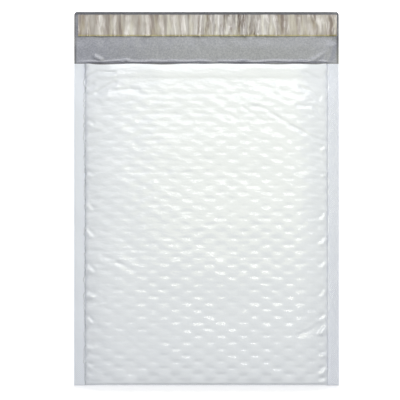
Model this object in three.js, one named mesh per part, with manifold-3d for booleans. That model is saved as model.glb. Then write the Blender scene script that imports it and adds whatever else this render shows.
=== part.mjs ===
// A padded envelope: a plastic film jacket with a bubble liner inside, lying on its back with its
// front face up, its mouth open and its flap laid out flat. Millimetres, +Z up, +Y towards the flap.
// The origin is on the surface that it lies on, under the middle of its outline.

import * as THREE from "three";
import { mergeVertices } from "three/addons/utils/BufferGeometryUtils.js";
import Module from "manifold-3d";

const wasm = await Module();
wasm.setup();

// The outline: 8.5 by 12 inches with the flap laid out.
const WIDTH = 215.9;
const LENGTH = 304.8;
const FLAP_LENGTH = 42.4;
const SEAM_WIDTH = 9;

// The layers. Film is drawn thicker than it really is, so that each wall is a sound solid.
const FILM = 0.4;
const CLEARANCE = 0.3;
const BUBBLE_SHEET = 3.6;
const POCKET_GAP = 5.6;
const THICKNESS = 2 * (FILM + CLEARANCE + BUBBLE_SHEET) + POCKET_GAP;

// How the panels leave the side seams and the bottom fold: the front has a steep edge as high as the
// bubble sheets, then a slow crown over the open pocket, and the back turns down flat on the surface.
const FRONT_EDGE = 5;
const BACK_EDGE = 6;
const CROWN = 32;
const FRONT_EDGE_SHARE = 0.45;
const SEAM_HEIGHT = 5;
const FOLD_BLUNTNESS = 0.6;

// The mouth: the padding stops short of the lip, and the seams come down to the surface there.
const LIP_HEIGHT = 10.4;
const UNPADDED_LIP = 12;
const LIP_SLOPE = 16;
const SEAM_DESCENT = 40;
const FLAT_SEAM = 4;

// The padding's side edges, clear of the seams, and the least space left between its two walls.
const PADDING_INSET = 3;
const LEAST_GAP = 0.3;

// The closure strip across the flap.
const STRIP_LENGTH = 211;
const STRIP_OFFSET = 0.8;
const STRIP_MARGIN = 2.4;
const RELEASE_WIDTH = 17.5;
const ADHESIVE_WIDTH = 15.5;
const ADHESIVE_THICKNESS = 0.2;
const RELEASE_THICKNESS = 0.2;

const SEAM_LINE = WIDTH / 2 - SEAM_WIDTH;
const FOLD = -LENGTH / 2;
const FLAP_END = LENGTH / 2;
const LIP = FLAP_END - FLAP_LENGTH;
const PADDING_END = LIP - UNPADDED_LIP;
const PADDING_HALF_WIDTH = SEAM_LINE - PADDING_INSET;

// Grid lines where the panels bend, as distances in from a seam or the fold.
const BEND_LINES = [
  FILM,
  FILM + CLEARANCE,
  0.25 * FRONT_EDGE,
  0.45 * FRONT_EDGE,
  PADDING_INSET,
  FILM + CLEARANCE + BUBBLE_SHEET,
  FRONT_EDGE,
  BACK_EDGE,
  0.3 * CROWN,
  0.5 * CROWN,
  0.75 * CROWN,
  CROWN,
];

// 0 at an edge and 1 once the distance from it reaches the reach, along a quarter of an ellipse.
function steepRise(distance, reach) {
  const left = 1 - THREE.MathUtils.clamp(distance / reach, 0, 1);
  return Math.sqrt(1 - left * left);
}

// The same along a parabola, which starts gently and ends level.
function slowRise(distance, reach) {
  const left = 1 - THREE.MathUtils.clamp(distance / reach, 0, 1);
  return 1 - left * left;
}

function frontRise(distance) {
  const steep = steepRise(distance, FRONT_EDGE);
  return THREE.MathUtils.lerp(slowRise(distance, CROWN), steep, FRONT_EDGE_SHARE);
}

function fromSeam(x) {
  return SEAM_LINE - Math.abs(x);
}

function fromFold(y) {
  return y - FOLD;
}

// Height of the middle of the side seams: level along the body, down on the surface at the mouth.
function seamHeight(y) {
  const slope = SEAM_DESCENT - FLAT_SEAM;
  const descent = THREE.MathUtils.clamp((y - (LIP - SEAM_DESCENT)) / slope, 0, 1);
  return THREE.MathUtils.lerp(SEAM_HEIGHT, FILM, descent);
}

// Half the thickness of the jacket's edge: two films, a little blunter along the bottom fold.
function edgeHalf(x, y) {
  const atFold = 1 - steepRise(fromFold(y), FRONT_EDGE);
  return FILM + FOLD_BLUNTNESS * steepRise(fromSeam(x), FRONT_EDGE) * atFold;
}

// Outer face of the front panel.
function frontFace(x, y) {
  const nearLip = THREE.MathUtils.clamp((y - (LIP - LIP_SLOPE)) / LIP_SLOPE, 0, 1);
  const crown = THREE.MathUtils.lerp(THICKNESS, LIP_HEIGHT, nearLip);
  const edge = seamHeight(y) + edgeHalf(x, y);
  const risen = frontRise(fromSeam(x)) * frontRise(fromFold(y));
  return THREE.MathUtils.lerp(edge, crown, risen);
}

// Outer face of the back panel, which is flat on the surface away from the seams and the fold.
function backFace(x, y) {
  const edge = seamHeight(y) - edgeHalf(x, y);
  const sunk = steepRise(fromSeam(x), BACK_EDGE) * steepRise(fromFold(y), BACK_EDGE);
  return THREE.MathUtils.lerp(edge, 0, sunk);
}

// Faces parallel to the panels, a depth inside them, never closer together than the least gap.
function frontInside(depth) {
  return (x, y) => Math.max(frontFace(x, y) - depth, seamHeight(y) + LEAST_GAP / 2);
}

function backInside(depth) {
  return (x, y) => Math.min(backFace(x, y) + depth, seamHeight(y) - LEAST_GAP / 2);
}

// Numbers in order, each once, from those that lie between a start and an end.
function linesWithin(lines, start, end) {
  const within = [start, ...lines, end].filter((line) => line >= start && line <= end);
  return [...new Set(within)].sort((a, b) => a - b);
}

function linesAcross(halfWidth) {
  const right = [0, ...BEND_LINES.map((distance) => SEAM_LINE - distance), SEAM_LINE];
  const left = right.map((x) => -x);
  return linesWithin([...left, ...right], -halfWidth, halfWidth);
}

function linesAlong(start, end) {
  const atFold = BEND_LINES.map((distance) => FOLD + distance);
  const atMouth = [LIP - SEAM_DESCENT, LIP - LIP_SLOPE, PADDING_END, LIP - FLAT_SEAM];
  return linesWithin([...atFold, 0, ...atMouth], start, end);
}

// A three.js geometry as a solid that can be joined and cut.
function toSolid(geometry) {
  geometry.deleteAttribute("normal");
  geometry.deleteAttribute("uv");
  const merged = mergeVertices(geometry);
  return new wasm.Manifold(new wasm.Mesh({
    numProp: 3,
    vertProperties: new Float32Array(merged.attributes.position.array),
    triVerts: new Uint32Array(merged.index.array),
  }));
}

function toGeometry(solid) {
  const mesh = solid.getMesh();
  const geometry = new THREE.BufferGeometry();
  geometry.setAttribute("position", new THREE.BufferAttribute(mesh.vertProperties, 3));
  geometry.setIndex(new THREE.BufferAttribute(mesh.triVerts, 1));
  geometry.computeVertexNormals();
  return geometry;
}

// A closed solid between a low and a high face: a box drawn to a grid of lines and lifted to them.
function blanket(across, along, low, high) {
  const columns = across.length - 1;
  const rows = along.length - 1;
  const box = new THREE.BoxGeometry(columns, rows, 1, columns, rows, 1);
  const corner = box.attributes.position;
  for (let i = 0; i < corner.count; i++) {
    const x = across[Math.round(corner.getX(i) + columns / 2)];
    const y = along[Math.round(corner.getY(i) + rows / 2)];
    corner.setXYZ(i, x, y, corner.getZ(i) > 0 ? high(x, y) : low(x, y));
  }
  return toSolid(box);
}

function makeMesh(name, geometry, color, roughness) {
  const material = new THREE.MeshStandardMaterial({ color, roughness, metalness: 0 });
  const mesh = new THREE.Mesh(geometry, material);
  mesh.name = name;
  return mesh;
}

// The jacket: one web of film folded across the bottom and welded down both sides. Its back panel
// runs on past the lip of the front panel as the flap.
function makeJacket() {
  const overshoot = 1;
  const across = linesAcross(WIDTH / 2);
  const body = blanket(across, linesAlong(FOLD, LIP), backFace, frontFace);
  const inside = blanket(
    linesAcross(SEAM_LINE),
    linesAlong(FOLD + FILM, LIP + overshoot),
    backInside(FILM),
    frontInside(FILM),
  );
  const overlap = FLAT_SEAM / 2;
  const flapSheet = new THREE.BoxGeometry(WIDTH, FLAP_LENGTH + overlap, FILM);
  flapSheet.translate(0, (LIP - overlap + FLAP_END) / 2, FILM / 2);
  const jacket = body.subtract(inside).add(toSolid(flapSheet));
  return makeMesh("film_jacket", toGeometry(jacket), 0xeceff1, 0.35);
}

// The padding: one sheet of bubble film folded across the bottom, with free side edges, that lines
// the front and the back of the pocket.
function makeLiner() {
  const outside = FILM + CLEARANCE;
  const inside = outside + BUBBLE_SHEET;
  const overshoot = 1;
  const folded = blanket(
    linesAcross(PADDING_HALF_WIDTH),
    linesAlong(FOLD + outside, PADDING_END),
    backInside(outside),
    frontInside(outside),
  );
  const across = linesAcross(PADDING_HALF_WIDTH);
  across[0] -= overshoot;
  across[across.length - 1] += overshoot;
  const pocket = blanket(
    across,
    linesAlong(FOLD + inside, PADDING_END + overshoot),
    backInside(inside),
    frontInside(inside),
  );
  return makeMesh("bubble_liner", toGeometry(folded.subtract(pocket)), 0xdde6ea, 0.25);
}

// A flat strip across the flap, a width wide, with its lower face at a height.
function makeStrip(name, width, height, thickness, color, roughness) {
  const strip = new THREE.BoxGeometry(STRIP_LENGTH, width, thickness);
  const mesh = makeMesh(name, strip, color, roughness);
  const middle = FLAP_END - STRIP_MARGIN - RELEASE_WIDTH / 2;
  mesh.position.set(STRIP_OFFSET, middle, height + thickness / 2);
  return mesh;
}

const envelope = new THREE.Group();
envelope.name = "padded_envelope";
envelope.add(
  makeJacket(),
  makeLiner(),
  makeStrip("adhesive_strip", ADHESIVE_WIDTH, FILM, ADHESIVE_THICKNESS, 0xc4ac84, 0.6),
  makeStrip(
    "release_strip",
    RELEASE_WIDTH,
    FILM + ADHESIVE_THICKNESS,
    RELEASE_THICKNESS,
    0xbdb4aa,
    0.2,
  ),
);

export default envelope;
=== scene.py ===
"""A padded envelope: a white film jacket over a folded bubble sheet, unsealed and lying on its back."""

import math
import random

import bmesh
import bpy
import numpy as np
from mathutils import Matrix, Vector, noise


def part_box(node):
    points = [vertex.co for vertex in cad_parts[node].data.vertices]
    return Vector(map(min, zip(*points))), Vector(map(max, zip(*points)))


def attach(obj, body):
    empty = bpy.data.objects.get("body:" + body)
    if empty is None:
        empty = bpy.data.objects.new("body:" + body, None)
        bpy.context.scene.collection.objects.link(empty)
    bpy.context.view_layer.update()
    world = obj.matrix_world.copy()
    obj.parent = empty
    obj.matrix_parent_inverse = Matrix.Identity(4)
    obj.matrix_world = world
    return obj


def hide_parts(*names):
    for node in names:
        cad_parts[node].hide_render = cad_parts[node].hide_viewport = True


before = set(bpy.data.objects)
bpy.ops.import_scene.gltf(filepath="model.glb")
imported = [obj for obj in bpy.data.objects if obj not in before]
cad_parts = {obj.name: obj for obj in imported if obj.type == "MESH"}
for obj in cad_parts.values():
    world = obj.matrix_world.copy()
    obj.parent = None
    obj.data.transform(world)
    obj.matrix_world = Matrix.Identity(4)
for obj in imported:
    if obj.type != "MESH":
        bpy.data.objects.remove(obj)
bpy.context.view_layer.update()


# ---------------------------------------------------------------------------------------------------
# The film jacket. One web of polyethylene film, white outside and grey inside, folded across the
# bottom and welded down both sides. The back panel runs on past the lip of the front as the flap,
# and both panels cling to the bubbles behind them.

jacket_low, jacket_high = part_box("film_jacket")
liner_low, liner_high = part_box("bubble_liner")

film = 0.0003
half_width = jacket_high.x
fold_y = jacket_low.y
flap_end = jacket_high.y
crown = jacket_high.z
seam_line = liner_high.x + 0.003
padding_end = liner_high.y
lip = padding_end + 0.012

# The side seams: level along the body, drooping outwards in waves, and down on the surface at the
# mouth.
seam_height = 0.005
seam_descent = 0.040
flat_seam = 0.004
seam_wave = 0.0011
seam_droop = 0.0009

# How the panels leave the seams and the fold: the reach of the steep edges and of the slow crown
# inside them, and the share of the front's rise that its steep edges take.
front_edge = 0.0029
fold_edge = 0.0022
back_edge = 0.006
slow_crown = 0.032
seam_edge_share = 0.50
fold_edge_share = 0.87
fold_bluntness = 0.0006
scallop_depth = 0.0006

# The front falls towards the end of its padding. Past a shallow groove there, the bare lip stands a
# little proud, and it bends down to a wavering edge.
padding_fall = 0.0010
lip_rise = 0.00055
lip_bend = 0.0010
lip_wave = 0.0007
lip_sway = 0.0008
lip_set_back = 0.0006

# The bubbles stand in close-packed columns that run along the envelope. Tight film shows each one,
# and slack film spans further from bubble to bubble.
front_seed = 11
back_seed = 12
bubble_pitch = 0.0106
column_pitch = 0.0092
first_column = 0.0026
first_bubble = 0.0052
bubble_reach = 0.0057
front_relief = 0.00044
back_relief = 0.8 * front_relief
tight_span = 0.0016
slack_span = 0.0031

# Heights of the slack between the bubbles: everywhere, less where the film is firm, more beside the
# seams, and its finest part. Then the low waves of the whole panel, and the crumpling at the welds.
slack_height = 0.00026
firm_loss = 0.00022
seam_slack = 0.00034
fine_slack = 0.00010
panel_wave = 0.0006
weld_crumple = 0.00035

# How finely the film is drawn: steps across each weld and between the welds, and along each panel.
weld_steps = 4
body_steps = 172
length_steps = 274
flap_steps = 48
least_wall_gap = 0.00003
weld_distance = 2e-6


def ease(value, start, end):
    """0 before start, 1 after end and a smooth step between them."""
    share = np.clip((value - start) / (end - start), 0.0, 1.0)
    return share * share * (3 - 2 * share)


def steep_rise(distance, reach):
    """0 at an edge and 1 from its reach on, along a quarter of an ellipse."""
    left = 1 - np.clip(distance / reach, 0.0, 1.0)
    return np.sqrt(1 - left * left)


def front_rise(distance, edge, edge_share):
    """How far the front has risen at a distance from a seam or the fold, from 0 to 1."""
    left = 1 - np.clip(distance / slow_crown, 0.0, 1.0)
    return edge_share * steep_rise(distance, edge) + (1 - edge_share) * (1 - left * left)


def wander(x, y, length_x, length_y, layer):
    """Smooth noise from -1 to 1 over arrays of places, with a wavelength across and one along."""
    x, y = np.broadcast_arrays(x, y)
    flat = [
        noise.noise(Vector((px / length_x, py / length_y, layer)))
        for px, py in zip(np.ravel(x), np.ravel(y))
    ]
    return np.reshape(flat, np.shape(x))


def seam_middle(x, y):
    """Height of the middle of the side seams, which droop outwards and come down at the mouth."""
    descent = ease(y, lip - seam_descent, lip - flat_seam)
    level = seam_height + (film - seam_height) * descent
    outward = np.clip((np.abs(x) - seam_line) / (half_width - seam_line), 0, 1)
    wave = seam_wave * wander(x * 0.2 + np.sign(x), y, 0.05, 0.022, 3.1) - seam_droop
    return level + outward * wave * (1 - descent)


def edge_half(x, y):
    """Half the thickness of the jacket's edge, which is blunter along the fold."""
    blunt = fold_bluntness * steep_rise(seam_line - np.abs(x), front_edge)
    return film + blunt * (1 - steep_rise(y - fold_y, front_edge))


def bubble_sites(seed):
    """Centre and fullness of each bubble behind one panel, in columns that alternate by half a step."""
    rng = random.Random(seed)
    sites = []
    columns = math.ceil(liner_high.x / column_pitch)
    rows = math.ceil(-fold_y / bubble_pitch)
    for column in range(-columns, columns + 1):
        x = first_column + column * column_pitch
        for row in range(-rows, rows + 1):
            y = first_bubble + (row + 0.5 * (column % 2)) * bubble_pitch
            y += 0.0008 * noise.noise(Vector((x / 0.035, y / 0.035, 0.6)))
            fullness = rng.uniform(0.72, 1.0) if rng.random() > 0.06 else rng.uniform(0.35, 0.6)
            if abs(x) < liner_high.x and fold_y + 0.004 < y < padding_end - 0.003:
                sites.append((x, y, fullness))
    return sites


def bubble_tops(lines_x, lines_y, sites):
    """1 on top of each full bubble, falling to 0 in the hollows, over a grid of lines.

    A bubble under film is flat for longer across the envelope than along it.
    """
    tops = np.zeros((len(lines_y), len(lines_x)))
    reach = bubble_reach
    for x, y, fullness in sites:
        i0, i1 = np.searchsorted(lines_y, [y - reach, y + reach])
        j0, j1 = np.searchsorted(lines_x, [x - reach, x + reach])
        dx = lines_x[None, j0:j1] - x
        dy = lines_y[i0:i1, None] - y
        dome = fullness * (1 - (dx / reach) ** 4 - np.abs(dy / reach) ** 2.5)
        tops[i0:i1, j0:j1] = np.maximum(tops[i0:i1, j0:j1], dome)
    return tops


def spanned(tops, step, span):
    """Bubble tops as film passes over them when it is drawn from side to side."""
    reach = math.ceil(2.5 * span / step)
    weights = np.exp(-0.5 * (np.arange(-reach, reach + 1) * step / span) ** 2)
    weights /= weights.sum()
    padded = np.pad(tops, ((0, 0), (reach, reach)), mode="edge")
    columns = tops.shape[1]
    return sum(weight * padded[:, i : i + columns] for i, weight in enumerate(weights))


def crease_stretches(x, y, points, width):
    """For each straight stretch of a wavering crease, how far above it a place is, and its strength."""
    passed = 0.0
    for (ax, ay), (bx, by) in zip(points, points[1:]):
        length = math.hypot(bx - ax, by - ay)
        ux, uy = (bx - ax) / length, (by - ay) / length
        along = (x - ax) * ux + (y - ay) * uy
        across = (y - ay) * ux - (x - ax) * uy
        waver = np.sin((along + passed) / 0.0027) + 0.6 * np.sin((along + passed) / 0.0011)
        inside = ease(along, -width, width) * (1 - ease(along, length - width, length + width))
        yield across + 0.2 * width * waver, inside * (1 + 0.3 * np.cos((along + passed) / 0.0041))
        passed += length


def fold_mark(x, y, points, depth, width):
    """A crease in tight film: a furrow, steep on its upper side, with a low swell below it."""
    mark = np.zeros(np.shape(x))
    for across, strength in crease_stretches(x, y, points, width):
        furrow_width = np.where(across > width, 0.8, 2.2) * width
        furrow = np.exp(-(((across - width) / furrow_width) ** 2))
        swell = np.exp(-(((across + 2.4 * width) / (2 * width)) ** 2))
        mark += strength * (0.5 * swell - furrow)
    return depth * mark


def ridge_mark(x, y, points, height, width):
    """A narrow ridge in loose film."""
    mark = np.zeros(np.shape(x))
    for across, strength in crease_stretches(x, y, points, width):
        mark += strength * np.exp(-((across / (1.5 * width)) ** 2))
    return height * mark


def pucker_mark(x, y, points, height, width):
    """A pinch in taut film: a ridge with a furrow against its upper side."""
    mark = np.zeros(np.shape(x))
    for across, strength in crease_stretches(x, y, points, width):
        ridge = np.exp(-((across / (1.5 * width)) ** 2))
        furrow = np.exp(-(((across - 1.2 * width) / width) ** 2))
        mark += strength * (ridge - furrow)
    return height * mark


# Creases of the front panel: points across and along, then depth and width.
front_creases = [
    ([(0.036, 0.0756), (0.044, 0.0740), (0.053, 0.0688)], 0.00040, 0.0009),
    ([(0.053, 0.0688), (0.065, 0.0611), (0.082, 0.0517), (0.098, 0.0450)], 0.00055, 0.0009),
    ([(0.0174, 0.0686), (0.0279, 0.0628), (0.0349, 0.0587)], 0.00026, 0.0010),
    ([(0.0284, 0.0750), (0.0349, 0.0697), (0.0430, 0.0645), (0.0490, 0.0622)], 0.00030, 0.0010),
    ([(0.0732, 0.0760), (0.0800, 0.0748), (0.0873, 0.0750)], 0.00045, 0.0009),
    ([(0.0873, 0.0750), (0.0908, 0.0704), (0.0950, 0.0650)], 0.00045, 0.0009),
    ([(0.0587, 0.0890), (0.0657, 0.0850), (0.0780, 0.0805)], 0.00026, 0.0011),
    ([(-0.1000, 0.0975), (-0.0879, 0.1030), (-0.0740, 0.1020)], 0.00100, 0.0011),
    ([(-0.0903, 0.0850), (-0.0815, 0.0900), (-0.0729, 0.0942)], 0.00105, 0.0013),
    ([(-0.0880, 0.0830), (-0.0800, 0.0868), (-0.0640, 0.0880), (-0.0540, 0.0870)], 0.00065, 0.0014),
    ([(-0.0975, 0.0890), (-0.0910, 0.0930)], 0.00070, 0.0012),
    ([(0.0790, 0.1030), (0.0880, 0.0985), (0.0935, 0.0950)], 0.00040, 0.0011),
    ([(0.0760, 0.0905), (0.0840, 0.0870), (0.0920, 0.0800)], 0.00050, 0.0011),
    ([(-0.0868, -0.0460), (-0.0740, -0.0515)], 0.00020, 0.0012),
    ([(-0.0740, -0.0515), (-0.0610, -0.0583)], 0.00036, 0.0011),
    ([(-0.0940, -0.0740), (-0.0820, -0.0850)], 0.00022, 0.0012),
    ([(-0.0900, -0.1040), (-0.0680, -0.1130), (-0.0520, -0.1260)], 0.00016, 0.0014),
    ([(0.0740, -0.1120), (0.0860, -0.1080), (0.0970, -0.0990)], 0.00060, 0.0015),
]

# Puckers along the weld lines: how far along the envelope, and how strong.
right_puckers = [
    (-0.0118, 0.7), (-0.0322, 0.9), (-0.0525, 0.8), (-0.0745, 0.7), (-0.0949, 0.8),
    (-0.1030, 1.4), (-0.1267, 1.0), (-0.1373, 0.9), (-0.1479, 1.2), (0.0190, 0.6), (0.0420, 0.6),
]
left_puckers = [
    (0.0631, 0.9), (0.0400, 0.5), (0.0208, 0.8), (-0.0045, 0.7), (-0.0257, 0.8),
    (-0.0542, 1.0), (-0.0770, 1.3), (-0.0957, 0.9), (-0.1210, 0.9), (-0.1356, 0.8),
]
pucker_length = 0.0060
pucker_height = 0.0010


def puckers(x, y):
    """Short slanting folds that run in from the side welds."""
    total = np.zeros(np.shape(x))
    for side, marks in ((1, right_puckers), (-1, left_puckers)):
        for place, strength in marks:
            slant = 0.5 + 0.45 * math.sin(place * 900)
            width = 0.0009 + 0.0009 * abs(math.sin(place * 2300))
            reach = pucker_length * (0.7 + 0.4 * strength)
            at_seam = (side * (seam_line - 0.001), place)
            inward = (side * (seam_line - reach), place - reach * slant)
            ends = [inward, at_seam] if side > 0 else [at_seam, inward]
            total += pucker_mark(x, y, ends, pucker_height * strength, width)
    crumple = np.exp(-(((seam_line - np.abs(x)) / 0.0045) ** 2))
    return total + weld_crumple * crumple * wander(x, y, 0.0060, 0.0042, 7.2)


def scalloped(from_seam, x, y):
    """Distance from the seam, whose inner edge is drawn in and out along the bubbles."""
    scallop = scallop_depth * np.sin(2 * math.pi * y / bubble_pitch + 1.5 * np.sign(x))
    scallop = scallop + scallop_depth * wander(np.sign(x), y, 1.0, 0.012, 8.4)
    return from_seam + scallop * steep_rise(from_seam, 0.001) * (1 - ease(from_seam, 0, 0.007))


def front_height(x, y, lines_x=None, lines_y=None):
    """Outer face of the front panel. With grid lines it has the bubbles and creases too."""
    from_seam = scalloped(seam_line - np.abs(x), x, y)
    from_lip = lip - y
    top = crown - padding_fall * (1 - ease(from_lip, 0.0110, 0.0340))
    top = top + lip_rise * (1 - np.clip((from_lip - 0.0052) / 0.0066, 0, 1) ** 4)
    top = top - lip_bend * (1 - ease(from_lip, -0.0040, 0.0045))
    edge = seam_middle(x, y) + edge_half(x, y)
    risen = front_rise(from_seam, front_edge, seam_edge_share)
    risen = risen * front_rise(y - fold_y, fold_edge, fold_edge_share)
    height = edge + (top - edge) * risen
    if lines_x is None:
        return height

    # The film is firm over full padding towards the bottom right, and slack towards the upper left.
    firmness = ease(0.7 * x / half_width - y / flap_end, -0.75, 0.45)
    tops = bubble_tops(lines_x, lines_y, bubble_sites(front_seed))
    step = lines_x[len(lines_x) // 2 + 1] - lines_x[len(lines_x) // 2]
    tight = spanned(tops, step, tight_span)
    loose = spanned(tops, step, slack_span)
    relief = 1 - firmness * tight - (1 - firmness) * loose
    gain = 1 + 0.7 * (1 - firmness) + 0.65 * (1 - ease(y - fold_y, 0.006, 0.040))
    gain = gain + 0.25 * firmness * (1 - ease(y, -0.090, 0.010))
    bubbled = ease(from_lip, 0.017, 0.026)
    height = height - front_relief * gain * relief * bubbled * ease(from_seam, -0.001, 0.003)

    # Slack runs across in low wrinkles, which swing down to the right in the upper part.
    inside = ease(from_seam, 0.0, 0.004)
    backed = inside * ease(from_lip, 0.012, 0.020)
    streak = y + 1.5 * ease(y, -0.03, 0.07) * (x + 0.05) ** 2
    slack = slack_height - firm_loss * firmness + seam_slack * (1 - ease(from_seam, 0.004, 0.018))
    height = height + backed * slack * wander(x, streak, 0.0120, 0.0040, 0.3)
    height = height + backed * fine_slack * wander(x, streak, 0.0060, 0.0028, 6.1)
    height = height + inside * panel_wave * wander(x, y, 0.045, 0.035, 5.7)
    at_lip = np.exp(-((from_lip / 0.006) ** 2))
    height = height + inside * lip_wave * at_lip * wander(x, y, 0.018, 0.02, 2.2)
    for points, depth, width in front_creases:
        height = height + ease(from_seam, -0.001, 0.003) * fold_mark(x, y, points, depth, width)
    return height + puckers(x, y) * ease(from_seam, 0.0005, 0.003)


def back_height(x, y, lines_x=None, lines_y=None):
    """Outer face of the back panel, flat on the surface where its bubbles press on it."""
    edge = seam_middle(x, y) - edge_half(x, y)
    sunk = steep_rise(seam_line - np.abs(x), back_edge) * steep_rise(y - fold_y, back_edge)
    height = np.maximum(edge * (1 - sunk), 0.0)
    if lines_x is None:
        return height
    bubbled = ease(lip - y, 0.010, 0.022) * ease(seam_line - np.abs(x), 0.0, 0.004)
    tops = bubble_tops(lines_x, lines_y, bubble_sites(back_seed))
    return height + back_relief * (1 - tops) * bubbled


# The flap lies in low waves, with a crumpled ridge beside the mouth. Its far edge curls up a little,
# and its corners are slightly rounded.
flap_wave = 0.0010
flap_grain = 0.00018
mouth_ridge = 0.0010
edge_curl = 0.0012
corner_round = 0.0014
flap_creases = [
    ([(-0.0920, 0.1162), (-0.0850, 0.1128)], 0.00070, 0.0010),
    ([(-0.0700, 0.1110), (-0.0655, 0.1135), (-0.0620, 0.1110)], 0.00060, 0.0009),
    ([(0.0860, 0.1128), (0.0990, 0.1195), (0.1030, 0.1270)], 0.00045, 0.0012),
    ([(0.0990, 0.1128), (0.1063, 0.1316)], 0.00070, 0.0011),
    ([(0.1010, 0.1330), (0.1050, 0.1420), (0.1022, 0.1505)], 0.00100, 0.0010),
    ([(0.1055, 0.1300), (0.1072, 0.1400), (0.1050, 0.1520)], 0.00090, 0.0009),
]


def flap_height(x, y):
    """Upper, grey face of the flap: it lies in low waves, and is crumpled just outside the mouth."""
    out = ease(y, lip, lip + 0.015)
    wave = 0.5 + 0.5 * wander(x, y, 0.050, 0.060, 9.5)
    height = film + flap_wave * out * wave
    ridge_y = lip + 0.0020 + 0.0010 * wander(x, 0 * y, 0.016, 1.0, 1.9)
    ridge = np.clip(0.45 + 0.9 * wander(x, 0 * y, 0.012, 1.0, 6.9), 0.0, 1.0)
    ridge = ridge * ease(half_width - np.abs(x), 0.002, 0.010)
    height = height + mouth_ridge * ridge * np.exp(-(((y - ridge_y) / 0.0008) ** 2))
    height = height + flap_grain * out * (1 + wander(x, y, 0.006, 0.010, 4.4))
    height = height + edge_curl * ease(y, flap_end - 0.0028, flap_end)
    for points, rise, width in flap_creases:
        height = height + ridge_mark(x, y, points, rise, width)
    return height


class Shell:
    """Grids of points that are skinned with faces and then welded into one closed mesh."""

    def __init__(self):
        self.points, self.faces, self.finishes = [], [], []

    def grid(self, x, y, z):
        """Adds points and returns their numbers in the same rows and columns."""
        x, y, z = np.broadcast_arrays(x, y, z)
        first = len(self.points)
        self.points += list(zip(x.ravel(), y.ravel(), z.ravel()))
        return np.arange(first, first + x.size).reshape(x.shape)

    def skin(self, numbers, finish):
        """Quads over a grid of points, facing up where its rows run along +Y."""
        for a, b in zip(numbers, numbers[1:]):
            for i in range(len(a) - 1):
                self.add((a[i], a[i + 1], b[i + 1], b[i]), finish)

    def widen(self, coarse, fine, finish):
        """Joins a row of points to a row with twice as many steps."""
        for i in range(len(coarse) - 1):
            j = 2 * i
            self.add((coarse[i], coarse[i + 1], fine[j + 2], fine[j + 1], fine[j]), finish)

    def add(self, face, finish):
        self.faces.append([int(number) for number in face])
        self.finishes.append(finish)

    def build(self, name, materials):
        mesh = bpy.data.meshes.new(name)
        mesh.from_pydata(self.points, [], self.faces)
        mesh.polygons.foreach_set("material_index", self.finishes)
        for material in materials:
            mesh.materials.append(material)
        welded = bmesh.new()
        welded.from_mesh(mesh)
        bmesh.ops.remove_doubles(welded, verts=welded.verts, dist=weld_distance)
        bmesh.ops.recalc_face_normals(welded, faces=welded.faces)
        welded.to_mesh(mesh)
        welded.free()
        piece = bpy.data.objects.new(name, mesh)
        bpy.context.scene.collection.objects.link(piece)
        return piece


def smooth_faces(piece, sharp_angle):
    """Smooth shading, with edges sharper than an angle left crisp."""
    bpy.ops.object.select_all(action="DESELECT")
    piece.select_set(True)
    bpy.context.view_layer.objects.active = piece
    bpy.ops.object.shade_smooth_by_angle(angle=sharp_angle)


# The inner faces of the jacket as lines across, lines along and heights, for what lies against them.
jacket_inside = {}


def reach_of_hollows(heights):
    """The highest of each point of a grid and all the points up to two lines away from it."""
    rows, columns = heights.shape
    padded = np.pad(heights, 2, mode="edge")
    reach = heights.copy()
    for i in range(5):
        for j in range(5):
            reach = np.maximum(reach, padded[i : i + rows, j : j + columns])
    return reach


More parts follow.
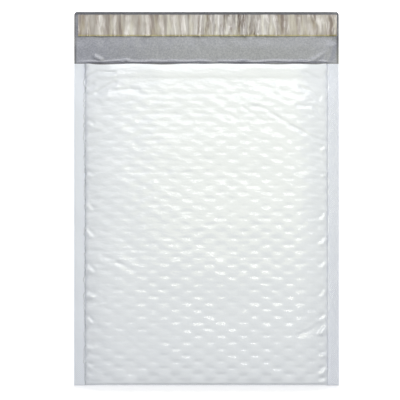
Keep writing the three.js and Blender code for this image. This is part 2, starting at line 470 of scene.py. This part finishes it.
def make_jacket(white_film, grey_film):
    """The front's outer face and the flap are drawn on every line, and the rest on every second one."""
    weld = np.linspace(-half_width, -seam_line, weld_steps + 1)[:-1]
    across = np.concatenate([weld, np.linspace(-seam_line, seam_line, body_steps + 1), -weld[::-1]])
    along = np.linspace(fold_y, lip, length_steps + 1)
    along[0] += film
    body = slice(weld_steps // 2, (weld_steps + body_steps) // 2 + 1)
    wide_x, wide_y = across[::2], along[::2]

    # The outer faces of the front and the back, joined along the fold.
    shell = Shell()
    x, y = np.meshgrid(across, along)
    front_z = front_height(x, y, across, along)
    back_z = back_height(x, y, across, along)
    sway = lip_sway * wander(x, 0 * y, 0.024, 1.0, 4.9) - lip_set_back
    sway = sway * np.exp(-(((lip - y) / 0.008) ** 2)) * ease(seam_line - np.abs(x), 0.0, 0.010)
    front = shell.grid(x, y + sway, front_z)
    back = shell.grid(x[::2, ::2], y[::2, ::2], back_z[::2, ::2])
    fold = shell.grid(across, fold_y, seam_middle(across, fold_y))
    shell.skin(front, 0)
    shell.skin(back, 0)
    shell.skin(np.stack([front[0], fold]), 0)
    shell.widen(back[0], fold, 0)

    # The flap, with its rows closer together at both ends.
    share = np.linspace(0, 1, flap_steps + 1)
    share = share - 0.11 * np.sin(2 * math.pi * share)
    flap_rows = lip + (flap_end - lip) * share
    flap_x, flap_y = np.meshgrid(across, flap_rows)
    rounding = ease(flap_y, flap_end - 0.003, flap_end) ** 2
    rounding = rounding * ease(np.abs(flap_x), half_width - 0.007, half_width)
    flap_x = flap_x - np.sign(flap_x) * corner_round * rounding
    top_z = flap_height(flap_x, flap_y)
    under_z = np.maximum(top_z - film, 0.0)
    under_z[0] = 0.0
    mouth = shell.grid(wide_x, lip, top_z[0, ::2])
    flap_top = shell.grid(flap_x[1:], flap_y[1:], top_z[1:])
    flap_under = shell.grid(flap_x[:, ::2], flap_y[:, ::2], under_z[:, ::2])
    shell.widen(mouth, flap_top[0], 1)
    shell.skin(flap_top, 1)
    shell.skin(flap_under, 0)
    shell.widen(flap_under[-1], flap_top[-1], 1)

    # The inner faces, a film's thickness inside the outer ones. They meet at the seams.
    inner = {}
    inner_x, inner_y = np.meshgrid(wide_x[body], wide_y[1:])
    inner_sway = sway[2::2, ::2][:, body]
    middle = seam_middle(inner_x, inner_y)
    at_seam = np.abs(inner_x) > seam_line - 1e-6
    for side, outer, sign in (("front", front_z, -1), ("back", back_z, 1)):
        cleared = sign * (reach_of_hollows(sign * outer) + film)
        z = cleared[2::2, ::2][:, body]
        z = sign * np.minimum(sign * z, sign * middle - least_wall_gap)
        if side == "back":
            z[-1] = top_z[0, ::2][body]
        z = np.where(at_seam, middle, z)
        z[-1, [0, -1]] = top_z[0, ::2][body][[0, -1]]
        shift = inner_sway if side == "front" else 0.0
        inner[side] = shell.grid(inner_x, inner_y + shift, z)
        jacket_inside[side] = (wide_x[body], wide_y[1:], z)
        shell.skin(inner[side], 1)
    shell.skin(np.stack([inner["front"][0], inner["back"][0]]), 1)

    # The front's cut edge, the ends of the welds beside the mouth, and the two side edges.
    edge_of_front = front[-1]
    shell.widen(inner["front"][-1], edge_of_front[2 * body.start : 2 * body.stop - 1], 1)
    for part in (slice(0, body.start + 1), slice(body.stop - 1, len(wide_x))):
        shell.widen(mouth[part], edge_of_front[2 * part.start : 2 * part.stop - 1], 0)
    for edge in (0, -1):
        shell.add((front[0][edge], fold[edge], back[0][edge]), 0)
        shell.widen(back[:-1, edge], front[:-2, edge], 0)
        corner = (back[-2][edge], back[-1][edge], mouth[edge])
        shell.add((*corner, front[-1][edge], front[-2][edge], front[-3][edge]), 0)
        side_top = np.concatenate([[mouth[edge]], flap_top[:, edge]])
        shell.skin(np.stack([side_top, flap_under[:, edge]]), 1)

    piece = shell.build("jacket", [white_film, grey_film])
    smooth_faces(piece, math.radians(50))
    return piece


def new_material(name):
    material = bpy.data.materials.new(name)
    material.use_nodes = True
    return material, material.node_tree.nodes, material.node_tree.links


def add_noise(nodes, links, place, scale, detail=2.0, roughness=0.5):
    """Noise around 0.5, read at a place, with a number of waves to the metre."""
    texture = nodes.new("ShaderNodeTexNoise")
    texture.inputs["Scale"].default_value = scale
    texture.inputs["Detail"].default_value = detail
    texture.inputs["Roughness"].default_value = roughness
    links.new(place, texture.inputs["Vector"])
    return texture.outputs["Fac"]


def add_math(nodes, links, operation, first, second=None, clamp=False):
    """Works out one or two values, each a socket or a plain number."""
    node = nodes.new("ShaderNodeMath")
    node.operation = operation
    node.use_clamp = clamp
    for socket, value in zip(node.inputs, (first, second)):
        if value is None:
            continue
        if isinstance(value, (int, float)):
            socket.default_value = value
        else:
            links.new(value, socket)
    return node.outputs[0]


def add_contrast(nodes, links, value, low, high):
    """Stretches a value so that low becomes 0 and high becomes 1."""
    stretch = nodes.new("ShaderNodeMapRange")
    stretch.inputs["From Min"].default_value = low
    stretch.inputs["From Max"].default_value = high
    links.new(value, stretch.inputs["Value"])
    return stretch.outputs["Result"]


def add_mix(nodes, links, share, first, second):
    """Mixes two colours, each a colour socket or plain numbers, by a share."""
    mix = nodes.new("ShaderNodeMix")
    mix.data_type = "RGBA"
    links.new(share, mix.inputs[0])
    for socket, value in ((mix.inputs[6], first), (mix.inputs[7], second)):
        if isinstance(value, tuple):
            socket.default_value = (*value, 1.0)
        else:
            links.new(value, socket)
    return mix.outputs[2]


def add_bump(nodes, links, height, distance, strength, normal=None):
    """Fine relief in the shading, on top of any that is there already."""
    bump = nodes.new("ShaderNodeBump")
    bump.inputs["Distance"].default_value = distance
    bump.inputs["Strength"].default_value = strength
    links.new(height, bump.inputs["Height"])
    if normal is not None:
        links.new(normal, bump.inputs["Normal"])
    return bump.outputs["Normal"]


knurl_rate = 3900.0


def make_white_film():
    """Glossy white film, faintly mottled, with fine ripples that are plainer where it is slack.

    Outside the seam line are the welds, bluer and finely knurled, and a line of painted shade
    follows the inner edge of the left one.
    """
    material, nodes, links = new_material("white_film")
    shader = nodes["Principled BSDF"]
    place = nodes.new("ShaderNodeTexCoord").outputs["Object"]
    split = nodes.new("ShaderNodeSeparateXYZ")
    links.new(place, split.inputs[0])
    beyond = add_math(nodes, links, "ABSOLUTE", split.outputs["X"])
    beyond = add_math(nodes, links, "SUBTRACT", beyond, seam_line)
    sway = add_noise(nodes, links, place, 130.0, 2.0, 0.6)
    sway = add_math(nodes, links, "SUBTRACT", sway, 0.5)
    sway = add_math(nodes, links, "MULTIPLY", sway, 0.0050)
    beyond = add_math(nodes, links, "ADD", beyond, sway)
    on_weld = add_math(nodes, links, "MULTIPLY", beyond, 1500.0, clamp=True)

    mottle = add_noise(nodes, links, place, 60.0, 4.0, 0.6)
    body = add_mix(nodes, links, mottle, (0.768, 0.797, 0.858), (0.833, 0.855, 0.908))
    left_half = add_contrast(nodes, links, split.outputs["X"], 0.05, -0.05)
    weld = add_mix(nodes, links, left_half, (0.748, 0.775, 0.862), (0.797, 0.829, 0.905))
    colour = add_mix(nodes, links, on_weld, body, weld)
    # A line of painted shade beside the inner edge of the left weld, where the steep film would lie in
    # shadow.
    off_shade_line = add_math(nodes, links, "SUBTRACT", beyond, 0.0004)
    off_shade_line = add_math(nodes, links, "ABSOLUTE", off_shade_line)
    off_shade_line = add_math(nodes, links, "MULTIPLY", off_shade_line, 1300.0)
    weld_shade_line = add_math(nodes, links, "SUBTRACT", 1.0, off_shade_line)
    shade_line_strength = add_math(nodes, links, "MULTIPLY", left_half, 0.7)
    weld_shade_line = add_math(nodes, links, "MULTIPLY", weld_shade_line, shade_line_strength, clamp=True)
    colour = add_mix(nodes, links, weld_shade_line, colour, (0.46, 0.48, 0.51))
    links.new(colour, shader.inputs["Base Color"])
    shader.inputs["Roughness"].default_value = 0.12
    shader.inputs["IOR"].default_value = 1.5

    knurl_x = add_math(nodes, links, "MULTIPLY", split.outputs["X"], knurl_rate)
    knurl_x = add_math(nodes, links, "SINE", knurl_x)
    knurl_y = add_math(nodes, links, "MULTIPLY", split.outputs["Y"], knurl_rate)
    knurl_y = add_math(nodes, links, "SINE", knurl_y)
    knurl = add_math(nodes, links, "MULTIPLY", knurl_x, knurl_y)
    knurl = add_math(nodes, links, "MULTIPLY", knurl, on_weld)
    grain = add_noise(nodes, links, place, 700.0, 3.0, 0.6)
    stretch = nodes.new("ShaderNodeMapping")
    stretch.inputs["Scale"].default_value = (0.4, 1.0, 1.0)
    links.new(place, stretch.inputs["Vector"])
    ripple = add_noise(nodes, links, stretch.outputs["Vector"], 270.0, 2.0, 0.5)
    firm_x = add_contrast(nodes, links, split.outputs["X"], -half_width, half_width)
    firm_y = add_contrast(nodes, links, split.outputs["Y"], flap_end, fold_y)
    slackness = add_math(nodes, links, "ADD", firm_x, firm_y)
    slackness = add_contrast(nodes, links, slackness, 1.5, 0.5)
    slackness = add_math(nodes, links, "ADD", slackness, 0.35)
    ripple = add_math(nodes, links, "MULTIPLY", ripple, slackness)
    normal = add_bump(nodes, links, ripple, 0.0006, 0.50)
    normal = add_bump(nodes, links, grain, 0.0001, 0.20, normal)
    normal = add_bump(nodes, links, knurl, 0.0002, 0.7, normal)
    links.new(normal, shader.inputs["Normal"])
    return material


def make_grey_film():
    """The inner layer: grey with a fine grain and painted shade along its cut edges and at the mouth.

    It is painted a little darker towards the closure strip too, as shade.
    """
    material, nodes, links = new_material("grey_film")
    shader = nodes["Principled BSDF"]
    place = nodes.new("ShaderNodeTexCoord").outputs["Object"]
    split = nodes.new("ShaderNodeSeparateXYZ")
    links.new(place, split.inputs[0])
    mottle = add_noise(nodes, links, place, 700.0, 4.0, 0.8)
    mottle = add_contrast(nodes, links, mottle, 0.25, 0.75)
    # Painted shade: the flap is made a little darker towards the closure strip.
    painted_fade_shade = add_contrast(nodes, links, split.outputs["Y"], lip, flap_end - 0.020)
    painted_fade_shade = add_math(nodes, links, "MULTIPLY", painted_fade_shade, 0.32)
    mottle = add_math(nodes, links, "ADD", mottle, 0.14)
    mottle = add_math(nodes, links, "SUBTRACT", mottle, painted_fade_shade)
    colour = add_mix(nodes, links, mottle, (0.20, 0.207, 0.245), (0.385, 0.395, 0.462))
    # Painted shade along the flap's cut edges and in the crease of the mouth, where the lip stands over
    # it.
    side_edge_shade = add_math(nodes, links, "ABSOLUTE", split.outputs["X"])
    side_edge_shade = add_contrast(nodes, links, side_edge_shade, half_width - 0.0024, half_width - 0.0008)
    far_edge_shade = add_contrast(nodes, links, split.outputs["Y"], flap_end - 0.0026, flap_end - 0.0016)
    crease = add_contrast(nodes, links, split.outputs["Y"], lip + 0.0014, lip + 0.0004)
    far_edge_shade = add_math(nodes, links, "MULTIPLY", far_edge_shade, 0.40)
    crease = add_math(nodes, links, "MULTIPLY", crease, 0.75)
    shade = add_math(nodes, links, "MAXIMUM", side_edge_shade, crease)
    shade = add_math(nodes, links, "MAXIMUM", far_edge_shade, shade)
    shade = add_math(nodes, links, "MULTIPLY", shade, 0.85)
    colour = add_mix(nodes, links, shade, colour, (0.10, 0.10, 0.105))
    links.new(colour, shader.inputs["Base Color"])
    shader.inputs["Roughness"].default_value = 0.2
    shader.inputs["IOR"].default_value = 1.6
    grain = add_noise(nodes, links, place, 900.0, 3.0, 0.6)
    links.new(add_bump(nodes, links, grain, 0.0003, 0.35), shader.inputs["Normal"])
    return material


jacket = make_jacket(make_white_film(), make_grey_film())
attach(jacket, "root")
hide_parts("film_jacket")


# ---------------------------------------------------------------------------------------------------
# The bubble liner. Clear bubble film folded across the bottom, its flat side towards the pocket and
# its bubbles towards the jacket. It lies loose, and its ends stop short of the mouth.

sheet_film = 0.00025
sheet_step = 0.006
sheet_thickness = 0.0036
sheet_depth = liner_low.z + sheet_thickness
half_pocket_gap = 0.00015

# A bubble's rings of points: how far out each lies, and how far up from the flat film to the jacket.
bubble_radius = 0.0042
bubble_sides = 12
bubble_rings = ((1.0, -0.05), (0.97, 0.55), (0.80, 0.88), (0.45, 0.99))
jacket_room = 0.0001
smallest_bubble = 0.0006


def liner_face(x, y, front):
    """The side of the flat film that faces the pocket."""
    middle = seam_middle(x, y)
    if front:
        return np.maximum(front_height(x, y) - sheet_depth, middle + half_pocket_gap)
    return np.minimum(back_height(x, y) + sheet_depth, middle - half_pocket_gap)


def inside_height(x, y, front):
    """Height of the jacket's inner face over a place in the padded part."""
    lines_x, lines_y, heights = jacket_inside["front" if front else "back"]
    j = np.clip(np.searchsorted(lines_x, x) - 1, 0, len(lines_x) - 2)
    i = np.clip(np.searchsorted(lines_y, y) - 1, 0, len(lines_y) - 2)
    u = np.clip((x - lines_x[j]) / (lines_x[j + 1] - lines_x[j]), 0, 1)
    v = np.clip((y - lines_y[i]) / (lines_y[i + 1] - lines_y[i]), 0, 1)
    low = heights[i, j] * (1 - u) + heights[i, j + 1] * u
    high = heights[i + 1, j] * (1 - u) + heights[i + 1, j + 1] * u
    return low * (1 - v) + high * v


def add_bubble(shell, x, y, fullness, front):
    """One bubble: straight walls on the flat film and a domed top just under the jacket."""
    turns = np.linspace(0, 2 * math.pi, bubble_sides, endpoint=False)
    side = 1 if front else -1
    rings = []
    for radius, rise in bubble_rings:
        px = x + radius * bubble_radius * np.cos(turns)
        py = y + radius * bubble_radius * np.sin(turns)
        base = liner_face(px, py, front) + side * sheet_film
        room = side * (inside_height(px, py, front) - base) - jacket_room
        if room.min() < smallest_bubble:
            return
        rings.append(shell.grid(px, py, base + side * room * rise * fullness))
    for low, high in zip(rings, rings[1:]):
        for i in range(bubble_sides):
            j = (i + 1) % bubble_sides
            shell.add((low[i], low[j], high[j], high[i])[::side], 0)
    shell.add(rings[-1][::side], 0)
    shell.add(rings[0][::-side], 0)


def make_liner(clear_film):
    """The flat film as one folded closed sheet, joined with its bubbles."""
    reach_x = liner_high.x
    across = np.linspace(-reach_x, reach_x, 2 * round(reach_x / sheet_step) + 1)
    start = fold_y + sheet_depth
    along = np.linspace(start, padding_end, round((padding_end - start) / sheet_step) + 1)
    x, y = np.meshgrid(across, along)
    shell = Shell()
    ends, edges = {}, {}
    for front, side in ((True, 1), (False, -1)):
        face = liner_face(x, y, front)
        pocket = shell.grid(x, y, face)
        outer_y = y.copy()
        outer_y[0] -= sheet_film
        outer = shell.grid(x, outer_y, face + side * sheet_film)
        shell.skin(pocket, 0)
        shell.skin(outer, 0)
        shell.skin(np.stack([pocket[-1], outer[-1]]), 0)
        for edge in (0, -1):
            shell.skin(np.stack([pocket[:, edge], outer[:, edge]]), 0)
            edges[front, edge] = (pocket[0, edge], outer[0, edge])
        ends[front] = (pocket[0], outer[0])
    for layer in (0, 1):
        shell.skin(np.stack([ends[True][layer], ends[False][layer]]), 0)
    for edge in (0, -1):
        shell.add((*edges[True, edge], *edges[False, edge][::-1]), 0)
    sheet = shell.build("bubble_sheet", [clear_film])

    bubbles = Shell()
    for front, seed in ((True, front_seed), (False, back_seed)):
        for px, py, fullness in bubble_sites(seed):
            if abs(px) < liner_high.x - bubble_radius and py > start + bubble_radius:
                add_bubble(bubbles, px, py, fullness, front)
    domes = bubbles.build("bubbles", [clear_film])
    bpy.ops.object.select_all(action="DESELECT")
    domes.select_set(True)
    sheet.select_set(True)
    bpy.context.view_layer.objects.active = sheet
    bpy.ops.object.join()
    smooth_faces(sheet, math.radians(40))
    return sheet


def make_clear_film():
    """Clear polyethylene, thin enough to show what is behind it, with a soft gloss."""
    material, nodes, links = new_material("clear_film")
    shader = nodes["Principled BSDF"]
    place = nodes.new("ShaderNodeTexCoord").outputs["Object"]
    haze = add_noise(nodes, links, place, 320.0, 3.0, 0.6)
    colour = add_mix(nodes, links, haze, (0.70, 0.76, 0.79), (0.84, 0.88, 0.90))
    links.new(colour, shader.inputs["Base Color"])
    shader.inputs["Roughness"].default_value = 0.18
    shader.inputs["IOR"].default_value = 1.5
    shader.inputs["Alpha"].default_value = 0.55
    links.new(add_bump(nodes, links, haze, 0.0004, 0.3), shader.inputs["Normal"])
    return material


liner = make_liner(make_clear_film())
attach(liner, "root")
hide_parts("bubble_liner")


# ---------------------------------------------------------------------------------------------------
# The adhesive strip. Pale amber hot melt, spread across the flap in a thin even band, so that it
# follows every wave of the film under it.

glue_low, glue_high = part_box("adhesive_strip")
glue_thickness = glue_high.z - glue_low.z
glue_columns = 105
glue_rows = 8
glue_gap = 0.00001


def lay_on_flap(piece, gap):
    """Sets a flat strip down on the flap, keeping its own thickness above a gap."""
    mesh = piece.data
    points = np.empty(len(mesh.vertices) * 3)
    mesh.vertices.foreach_get("co", points)
    points = points.reshape(-1, 3)
    points[:, 2] += gap + flap_height(points[:, 0], points[:, 1])
    mesh.vertices.foreach_set("co", points.ravel())
    mesh.update()


def make_adhesive(hot_melt):
    """A flat strip, cut into small fields so that it can bend, and laid on the flap."""
    bpy.ops.object.select_all(action="DESELECT")
    middle = (glue_low + glue_high) / 2
    size = glue_high - glue_low
    bpy.ops.mesh.primitive_cube_add(
        size=1,
        location=(middle.x, middle.y, glue_thickness / 2),
        scale=(size.x, size.y, glue_thickness),
    )
    strip = bpy.context.active_object
    strip.name = strip.data.name = "adhesive"
    bpy.ops.object.transform_apply(location=True, rotation=False, scale=True)
    bpy.ops.object.mode_set(mode="EDIT")
    for axis, parts in ((0, glue_columns), (1, glue_rows)):
        for cut in range(1, parts):
            place = list(middle)
            place[axis] = (glue_low[axis] * (parts - cut) + glue_high[axis] * cut) / parts
            normal = [0, 0, 0]
            normal[axis] = 1
            bpy.ops.mesh.select_all(action="SELECT")
            bpy.ops.mesh.bisect(plane_co=place, plane_no=normal)
    bpy.ops.object.mode_set(mode="OBJECT")
    lay_on_flap(strip, glue_gap)
    strip.data.materials.append(hot_melt)
    smooth_faces(strip, math.radians(40))
    return strip


def make_hot_melt():
    """Rubbery glue: pale amber, uneven in thickness and slightly shiny."""
    material, nodes, links = new_material("hot_melt")
    shader = nodes["Principled BSDF"]
    place = nodes.new("ShaderNodeTexCoord").outputs["Object"]
    patches = add_noise(nodes, links, place, 90.0, 4.0, 0.6)
    colour = add_mix(nodes, links, patches, (0.30, 0.24, 0.15), (0.44, 0.38, 0.27))
    links.new(colour, shader.inputs["Base Color"])
    shader.inputs["Roughness"].default_value = 0.4
    links.new(add_bump(nodes, links, patches, 0.0008, 0.4), shader.inputs["Normal"])
    return material


adhesive = make_adhesive(make_hot_melt())
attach(adhesive, "root")
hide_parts("adhesive_strip")


# ---------------------------------------------------------------------------------------------------
# The release strip. Thin, glossy, half-clear film laid over the adhesive, a little wider than it. It
# was laid down slack, so it is crinkled all the way along, mostly across its width.

release_low, release_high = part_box("release_strip")
release_film = 0.00008
release_gap = glue_thickness + 0.00012
release_columns = 360
release_rows = 16

# Where the strip was tugged about most as it was laid, and the three sharp folds at its right end.
tug_x = 0.022
end_x = release_high.x
end_folds = [
    ([(end_x - 0.0060, 0.1500), (end_x - 0.0020, 0.1450), (end_x - 0.0050, 0.1385)], 0.00090, 0.0011),
    ([(end_x - 0.0050, 0.1385), (end_x - 0.0015, 0.1330)], 0.00080, 0.0011),
    ([(end_x - 0.0210, 0.1500), (end_x - 0.0150, 0.1420), (end_x - 0.0120, 0.1345)], 0.00080, 0.0013),
]


def crinkles(x, y):
    """Height of the release film above the adhesive: folds across it, and small crumples between."""
    lean = 0.0016 * wander(x, y, 0.030, 0.030, 12.7)
    u = x + lean + 0.10 * (y - release_low.y) * wander(x, 0 * y, 0.021, 1.0, 2.6)
    broad = 1 - np.abs(wander(u, y, 0.0140, 0.090, 7.7))
    narrow = 1 - np.abs(wander(u, y, 0.0062, 0.060, 3.9))
    ripple = wander(u, y, 0.0024, 0.014, 5.5)
    small = wander(x, y, 0.006, 0.005, 1.5)
    height = 0.0013 * broad**3 + 0.0007 * narrow**3
    height = height + 0.00012 * (1 + ripple) + 0.00010 * (1 + small)
    loose = 0.6 + 0.7 * np.exp(-(((x - tug_x) / 0.035) ** 2))
    tilt = 0.20 * loose * wander(u, 0 * y, 0.0055, 1.0, 4.2)
    height = height + np.maximum(tilt, 0) * (y - release_low.y)
    height = height + np.maximum(-tilt, 0) * (release_high.y - y)
    for points, rise, width in end_folds:
        height = height + ridge_mark(x, y, points, rise, width)
    return height


def make_release(release_finish):
    """The strip's upper and lower faces, a film's thickness apart, closed along all four edges."""
    across = np.linspace(release_low.x, release_high.x, release_columns + 1)
    along = np.linspace(release_low.y, release_high.y, release_rows + 1)
    x, y = np.meshgrid(across, along)
    z = flap_height(x, y) + release_gap + crinkles(x, y)
    shell = Shell()
    top = shell.grid(x, y, z + release_film)
    under = shell.grid(x, y, z)
    shell.skin(top, 0)
    shell.skin(under, 0)
    for edge in (0, -1):
        shell.skin(np.stack([top[edge], under[edge]]), 0)
        shell.skin(np.stack([top[:, edge], under[:, edge]]), 0)
    strip = shell.build("release_film", [release_finish])
    smooth_faces(strip, math.radians(60))
    return strip


def make_release_finish():
    """Glossy half-clear film, tinted by the glue that it touches and yellower at its lower edge, with
    painted sheen.
    """
    material, nodes, links = new_material("release_film")
    shader = nodes["Principled BSDF"]
    place = nodes.new("ShaderNodeTexCoord").outputs["Object"]
    squeeze = nodes.new("ShaderNodeMapping")
    squeeze.inputs["Scale"].default_value = (1.0, 0.16, 1.0)
    links.new(place, squeeze.inputs["Vector"])
    streaks = add_noise(nodes, links, squeeze.outputs["Vector"], 170.0, 5.0, 0.62)
    fine = add_noise(nodes, links, squeeze.outputs["Vector"], 900.0, 2.0, 0.5)
    split = nodes.new("ShaderNodeSeparateXYZ")
    links.new(place, split.inputs[0])
    # The streaks are partly the film's uneven tint and partly painted highlight and shade, starkest
    # where the strip was tugged most.
    tint_and_sheen_bands = add_contrast(nodes, links, streaks, 0.36, 0.64)
    soft_tint_and_sheen = add_mix(nodes, links, tint_and_sheen_bands, (0.36, 0.305, 0.27), (0.66, 0.63, 0.59))
    stark_highlight_and_shade = add_mix(nodes, links, tint_and_sheen_bands, (0.17, 0.125, 0.095), (0.97, 0.95, 0.95))
    from_tug = add_math(nodes, links, "SUBTRACT", split.outputs["X"], tug_x)
    from_tug = add_math(nodes, links, "ABSOLUTE", from_tug)
    tug = add_contrast(nodes, links, from_tug, 0.050, 0.012)
    body = add_mix(nodes, links, tug, soft_tint_and_sheen, stark_highlight_and_shade)
    low_edge = add_math(nodes, links, "SUBTRACT", release_low.y + 0.0017, split.outputs["Y"])
    low_edge = add_math(nodes, links, "MULTIPLY", low_edge, 900.0, clamp=True)
    colour = add_mix(nodes, links, low_edge, body, (0.42, 0.37, 0.20))
    links.new(colour, shader.inputs["Base Color"])
    shader.inputs["Roughness"].default_value = 0.14
    shader.inputs["IOR"].default_value = 1.6
    shader.inputs["Alpha"].default_value = 0.85
    shader.inputs["Coat Weight"].default_value = 0.4
    shader.inputs["Coat Roughness"].default_value = 0.08
    normal = add_bump(nodes, links, streaks, 0.0012, 0.35)
    normal = add_bump(nodes, links, fine, 0.0003, 0.25, normal)
    links.new(normal, shader.inputs["Normal"])
    return material


release = make_release(make_release_finish())
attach(release, "root")
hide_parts("release_strip")


# ---------------------------------------------------------------------------------------------------
# The floor, the lights and the camera. A plain pale floor, soft lights high beyond the flap and above,
# one low warm light over the middle, and a camera that looks straight down.

bpy.ops.mesh.primitive_plane_add(size=6.0, location=(0, 0, -0.0002))
floor = bpy.context.active_object
floor.name = "floor"
floor_finish, floor_nodes, _ = new_material("floor")
floor_shader = floor_nodes["Principled BSDF"]
floor_shader.inputs["Base Color"].default_value = (0.90, 0.90, 0.90, 1)
floor_shader.inputs["Roughness"].default_value = 0.9
floor_shader.inputs["Emission Color"].default_value = (1, 1, 1, 1)
floor_shader.inputs["Emission Strength"].default_value = 0.45
floor.data.materials.append(floor_finish)


def add_light(name, place, aim, size, power, colour=(1, 1, 1)):
    """A flat lamp at a place, turned to face its aim."""
    data = bpy.data.lights.new(name, "AREA")
    data.shape = "RECTANGLE"
    data.size, data.size_y = size
    data.energy = power
    data.color = colour
    lamp = bpy.data.objects.new(name, data)
    lamp.location = place
    lamp.rotation_euler = (Vector(aim) - Vector(place)).to_track_quat("-Z", "Y").to_euler()
    bpy.context.scene.collection.objects.link(lamp)


add_light("strip", (0.25, 0.52, 3.2), (0, 0, 0), (0.8, 0.11), 2.4)
add_light("wide_strip", (0, 0.52, 3.2), (0, 0, 0), (5.0, 0.12), 8.2)
add_light("key", (0.09, 0.60, 0.95), (0, 0, 0), (0.9, 0.6), 6.85)
add_light("glow", (0.04, 0.05, 0.30), (0.04, 0.05, 0), (0.2, 0.2), 0.14, (1.0, 1.0, 0.45))
add_light("fill", (0, 0, 3.6), (0, 0, 0), (2.6, 2.6), 12.0)
world = bpy.data.worlds.new("studio")
world.use_nodes = True
world.node_tree.nodes["Background"].inputs["Color"].default_value = (0.95, 0.97, 1.0, 1)
world.node_tree.nodes["Background"].inputs["Strength"].default_value = 0.30
bpy.context.scene.world = world
bpy.context.scene.view_settings.view_transform = "Standard"

camera_height = 3.0
shown_width = 0.3259
camera_data = bpy.data.cameras.new("camera")
camera = bpy.data.objects.new("camera", camera_data)
camera.location = (-0.0053, -0.0012, camera_height)
camera_data.lens = camera_data.sensor_width * (camera_height - crown / 2) / shown_width
bpy.context.scene.collection.objects.link(camera)
bpy.context.scene.camera = camera
